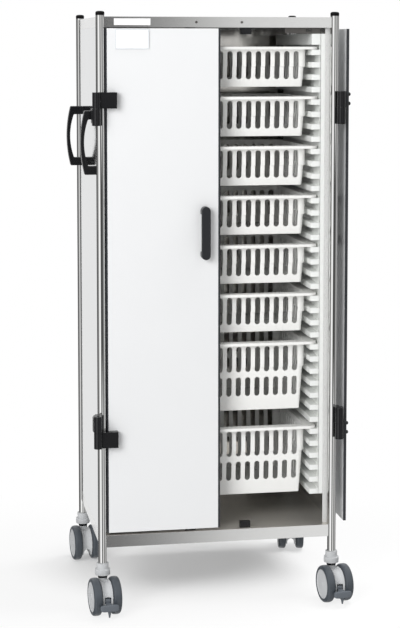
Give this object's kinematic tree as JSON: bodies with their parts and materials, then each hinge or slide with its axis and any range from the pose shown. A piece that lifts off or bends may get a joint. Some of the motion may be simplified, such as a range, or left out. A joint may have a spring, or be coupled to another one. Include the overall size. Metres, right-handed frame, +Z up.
{
  "type": "two-door basket cabinet trolley",
  "caption": "Tall closed transport trolley on twin-wheel casters, with two hinged doors and slotted modular baskets on ribbed side liners.",
  "frame": {"origin": "Bottom centre of the whole box on the floor, with the left door closed and the right door folded back along the right side, as stored.", "axes": "+Z up; the doors and basket fronts face -Y; the push handles are on the -X side and the folded right door on the +X side."},
  "size_m": [0.791, 0.6704, 1.733],
  "materials": {
    "tube_steel": "polished stainless tube",
    "sheet_steel": "brushed stainless sheet",
    "side_steel": "bright fine-brushed stainless sheet",
    "liner_plastic": "moulded off-white",
    "basket_plastic": "moulded warm white",
    "door_white": "glossy white laminate",
    "edge_trim": "near-black edging",
    "black_plastic": "satin black",
    "plate": "blank sticker",
    "card": "blank white card",
    "caster_plastic": "light grey moulding",
    "pedal_plastic": "slate grey moulding",
    "tyre": "slate grey tread"
  },
  "bodies": {
    "cabinet": {"posts_front": "tube_steel", "posts_back": "tube_steel", "post_caps": "black_plastic", "top_tray": "sheet_steel", "bottom_tray": "sheet_steel", "side_panel_left": "side_steel", "side_panel_right": "side_steel", "back_panel": "side_steel", "liner_left": "liner_plastic", "liner_right": "liner_plastic", "jambs": "sheet_steel", "header_brackets": "sheet_steel", "hinge_clamps_left": "black_plastic", "hinge_clamps_right": "black_plastic", "rail_screws": "tube_steel", "name_plate": "plate", "push_handle_front": "black_plastic", "push_handle_back": "black_plastic", "door_catches": "black_plastic", "caster_collars": "caster_plastic"},
    "door_left": {"door_left_panel": "door_white", "door_left_trim": "edge_trim", "door_left_leaves": "black_plastic", "door_left_pins": "tube_steel", "door_left_bolts": "black_plastic", "door_left_pull": "black_plastic", "label_holder": "basket_plastic", "label_card": "card"},
    "door_right": {"door_right_panel": "door_white", "door_right_trim": "edge_trim", "door_right_leaves": "black_plastic", "door_right_pins": "tube_steel", "door_right_bolts": "black_plastic", "door_right_pull": "black_plastic"},
    "basket_1": {"basket_1": "basket_plastic"},
    "basket_2": {"basket_2": "basket_plastic"},
    "basket_3": {"basket_3": "basket_plastic"},
    "basket_4": {"basket_4": "basket_plastic"},
    "basket_5": {"basket_5": "basket_plastic"},
    "basket_6": {"basket_6": "basket_plastic"},
    "basket_7": {"basket_7": "basket_plastic"},
    "basket_8": {"basket_8": "basket_plastic"},
    "caster_front_left": {"caster_front_left_housing": "caster_plastic", "caster_front_left_axle": "tube_steel"},
    "wheels_front_left": {"caster_front_left_discs": "caster_plastic", "caster_front_left_tyres": "tyre"},
    "caster_front_right": {"caster_front_right_housing": "caster_plastic", "caster_front_right_axle": "tube_steel"},
    "wheels_front_right": {"caster_front_right_discs": "caster_plastic", "caster_front_right_tyres": "tyre"},
    "caster_back_left": {"caster_back_left_housing": "caster_plastic", "caster_back_left_axle": "tube_steel"},
    "wheels_back_left": {"caster_back_left_discs": "caster_plastic", "caster_back_left_tyres": "tyre"},
    "caster_back_right": {"caster_back_right_housing": "caster_plastic", "caster_back_right_axle": "tube_steel"},
    "wheels_back_right": {"caster_back_right_discs": "caster_plastic", "caster_back_right_tyres": "tyre"},
    "pedal_front_left": {"pedal_front_left": "pedal_plastic"},
    "pedal_front_right": {"pedal_front_right": "pedal_plastic"}
  },
  "joints": [
    {"name": "door_left_swing", "type": "hinge", "parent": "cabinet", "child": "door_left", "pos_m": [-0.3535, -0.26226, 0.993], "axis": [0, 0, -1], "range_deg": [0, 230]},
    {"name": "door_right_swing", "type": "hinge", "parent": "cabinet", "child": "door_right", "pos_m": [0.3565, -0.26226, 0.993], "axis": [0, 0, 1], "range_deg": [-270, 0]},
    {"name": "slide_basket_1", "type": "slide", "parent": "cabinet", "child": "basket_1", "axis": [0, -1, 0], "range_m": [0, 0.012]},
    {"name": "slide_basket_2", "type": "slide", "parent": "cabinet", "child": "basket_2", "axis": [0, -1, 0], "range_m": [0, 0.012]},
    {"name": "slide_basket_3", "type": "slide", "parent": "cabinet", "child": "basket_3", "axis": [0, -1, 0], "range_m": [0, 0.012]},
    {"name": "slide_basket_4", "type": "slide", "parent": "cabinet", "child": "basket_4", "axis": [0, -1, 0], "range_m": [0, 0.012]},
    {"name": "slide_basket_5", "type": "slide", "parent": "cabinet", "child": "basket_5", "axis": [0, -1, 0], "range_m": [0, 0.012]},
    {"name": "slide_basket_6", "type": "slide", "parent": "cabinet", "child": "basket_6", "axis": [0, -1, 0], "range_m": [0, 0.012]},
    {"name": "slide_basket_7", "type": "slide", "parent": "cabinet", "child": "basket_7", "axis": [0, -1, 0], "range_m": [0, 0.012]},
    {"name": "slide_basket_8", "type": "slide", "parent": "cabinet", "child": "basket_8", "axis": [0, -1, 0], "range_m": [0, 0.012]},
    {"name": "swivel_front_left", "type": "hinge", "parent": "cabinet", "child": "caster_front_left", "pos_m": [-0.3395, -0.23426, 0.118], "axis": [0, 0, 1], "continuous": true},
    {"name": "wheels_front_left", "type": "hinge", "parent": "caster_front_left", "child": "wheels_front_left", "pos_m": [-0.33657, -0.2621, 0.054], "axis": [0.9945, 0.1045, 0], "continuous": true},
    {"name": "swivel_front_right", "type": "hinge", "parent": "cabinet", "child": "caster_front_right", "pos_m": [0.3425, -0.23426, 0.118], "axis": [0, 0, 1], "continuous": true},
    {"name": "wheels_front_right", "type": "hinge", "parent": "caster_front_right", "child": "wheels_front_right", "pos_m": [0.34615, -0.26202, 0.054], "axis": [0.9914, 0.1305, 0], "continuous": true},
    {"name": "swivel_back_left", "type": "hinge", "parent": "cabinet", "child": "caster_back_left", "pos_m": [-0.3395, 0.30374, 0.118], "axis": [0, 0, 1], "continuous": true},
    {"name": "wheels_back_left", "type": "hinge", "parent": "caster_back_left", "child": "wheels_back_left", "pos_m": [-0.33657, 0.2759, 0.054], "axis": [0.9945, 0.1045, 0], "continuous": true},
    {"name": "swivel_back_right", "type": "hinge", "parent": "cabinet", "child": "caster_back_right", "pos_m": [0.3425, 0.30374, 0.118], "axis": [0, 0, 1], "continuous": true},
    {"name": "wheels_back_right", "type": "hinge", "parent": "caster_back_right", "child": "wheels_back_right", "pos_m": [0.33764, 0.27617, 0.054], "axis": [0.9848, -0.1736, 0], "continuous": true},
    {"name": "pedal_front_left", "type": "hinge", "parent": "caster_front_left", "child": "pedal_front_left", "pos_m": [-0.33302, -0.29592, 0.05], "axis": [0.9945, 0.1045, 0], "range_deg": [0, 12]},
    {"name": "pedal_front_right", "type": "hinge", "parent": "caster_front_right", "child": "pedal_front_right", "pos_m": [0.35059, -0.29573, 0.05], "axis": [0.9914, 0.1305, 0], "range_deg": [0, 12]}
  ]
}
